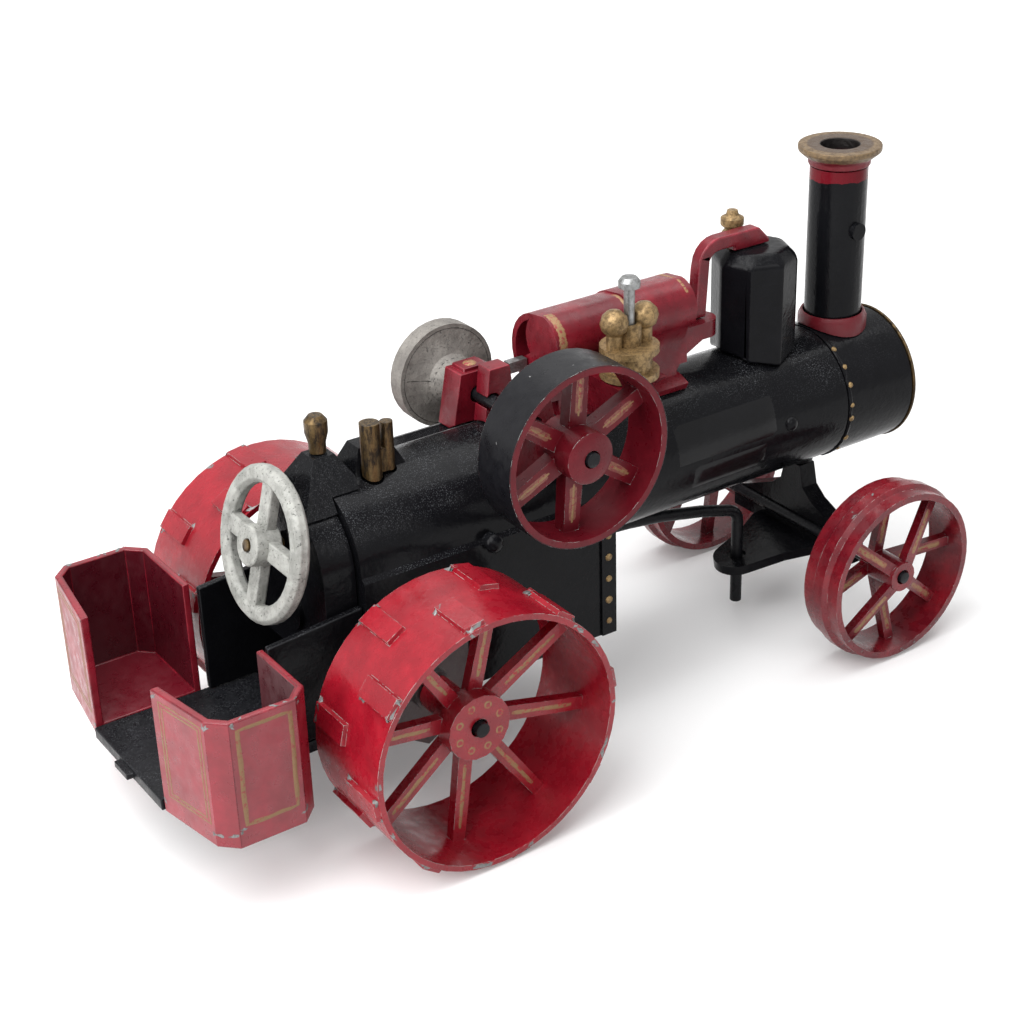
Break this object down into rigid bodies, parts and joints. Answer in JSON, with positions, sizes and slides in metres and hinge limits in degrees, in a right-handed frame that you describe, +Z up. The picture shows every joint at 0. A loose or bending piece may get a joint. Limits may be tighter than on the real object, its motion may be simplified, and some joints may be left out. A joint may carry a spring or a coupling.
{
  "type": "model steam traction engine",
  "caption": "Small cast-metal model of a steam traction engine: boiler on lugged rear wheels, flywheel, chimney, open platform with two bunkers, and a front axle that steers.",
  "frame": {"origin": "on the ground under the middle of the whole model, lugs down", "axes": "+X forward along the boiler, +Y to the engine's left, +Z up"},
  "size_m": [0.191, 0.0932, 0.1066],
  "materials": {
    "black_enamel": "gloss, brushed on by hand",
    "crimson_enamel": "satin gloss, chipped to grey metal at the lugs",
    "wine_red_enamel": "satin gloss",
    "bronze_paint": "dull metallic",
    "off_white_enamel": "matt, worn",
    "grey_enamel": "matt, worn",
    "bare_steel": "worn bright"
  },
  "bodies": {
    "engine": {"axle_bracket_left": "black_enamel", "axle_bracket_right": "black_enamel", "backhead": "black_enamel", "bearing_left": "wine_red_enamel", "bearing_right": "wine_red_enamel", "boiler_barrel": "black_enamel", "bolster_pad": "black_enamel", "bunker_left": "wine_red_enamel", "bunker_right": "wine_red_enamel", "chimney": "black_enamel", "chimney_base_ring": "wine_red_enamel", "chimney_cap": "bronze_paint", "crosshead_guide": "wine_red_enamel", "cylinder_block": "wine_red_enamel", "firebox": "black_enamel", "governor": "bronze_paint", "governor_screw": "bare_steel", "kingpin": "bare_steel", "platform_floor": "black_enamel", "rear_axle": "black_enamel", "safety_valve": "bronze_paint", "side_frame_left": "black_enamel", "side_frame_right": "black_enamel", "slide_bar": "bare_steel", "smokebox": "black_enamel", "smokebox_door": "black_enamel", "smokebox_ring": "bronze_paint", "steam_dome": "black_enamel", "steam_pipe": "wine_red_enamel", "steering_column": "bronze_paint", "throttle_peg": "bronze_paint", "water_valves": "bronze_paint"},
    "rear_wheel_left": {"rear_wheel_left": "crimson_enamel"},
    "rear_wheel_right": {"rear_wheel_right": "crimson_enamel"},
    "crankshaft": {"crankshaft": "black_enamel", "flywheel": "wine_red_enamel", "clutch_disc": "grey_enamel"},
    "steering_wheel": {"steering_wheel": "off_white_enamel"},
    "front_axle": {"front_bolster": "black_enamel", "front_axle": "black_enamel"},
    "front_wheel_left": {"front_wheel_left": "wine_red_enamel"},
    "front_wheel_right": {"front_wheel_right": "wine_red_enamel"},
    "reach_rod": {"reach_rod": "black_enamel"}
  },
  "joints": [
    {"name": "rear_wheel_left_spin", "type": "hinge", "parent": "engine", "child": "rear_wheel_left", "pos_m": [-0.03965, 0.0354, 0.0273], "axis": [0, 1, 0], "continuous": true},
    {"name": "rear_wheel_right_spin", "type": "hinge", "parent": "engine", "child": "rear_wheel_right", "pos_m": [-0.03965, -0.0354, 0.0273], "axis": [0, 1, 0], "continuous": true},
    {"name": "crankshaft_spin", "type": "hinge", "parent": "engine", "child": "crankshaft", "pos_m": [-0.00725, 0, 0.0703], "axis": [0, 1, 0], "continuous": true},
    {"name": "steering_wheel_spin", "type": "hinge", "parent": "engine", "child": "steering_wheel", "pos_m": [-0.06125, 0, 0.0564], "axis": [0.9703, 0, -0.2419], "continuous": true},
    {"name": "front_steering", "type": "hinge", "parent": "engine", "child": "front_axle", "pos_m": [0.07445, 0, 0.0203], "axis": [0, 0, 1], "range_deg": [-12, 12]},
    {"name": "front_wheel_left_spin", "type": "hinge", "parent": "front_axle", "child": "front_wheel_left", "pos_m": [0.07225, 0.0316, 0.0203], "axis": [0, 1, 0], "continuous": true},
    {"name": "front_wheel_right_spin", "type": "hinge", "parent": "front_axle", "child": "front_wheel_right", "pos_m": [0.07225, -0.0316, 0.0203], "axis": [0, 1, 0], "continuous": true},
    {"name": "reach_rod_swing", "type": "hinge", "parent": "engine", "child": "reach_rod", "pos_m": [0.01335, 0, 0.0343], "axis": [0, 0, 1], "range_deg": [-5.6, 5.6]}
  ],
  "couplings": [
    {"joint": "reach_rod_swing", "follows": "front_steering", "ratio": -0.42093}
  ]
}
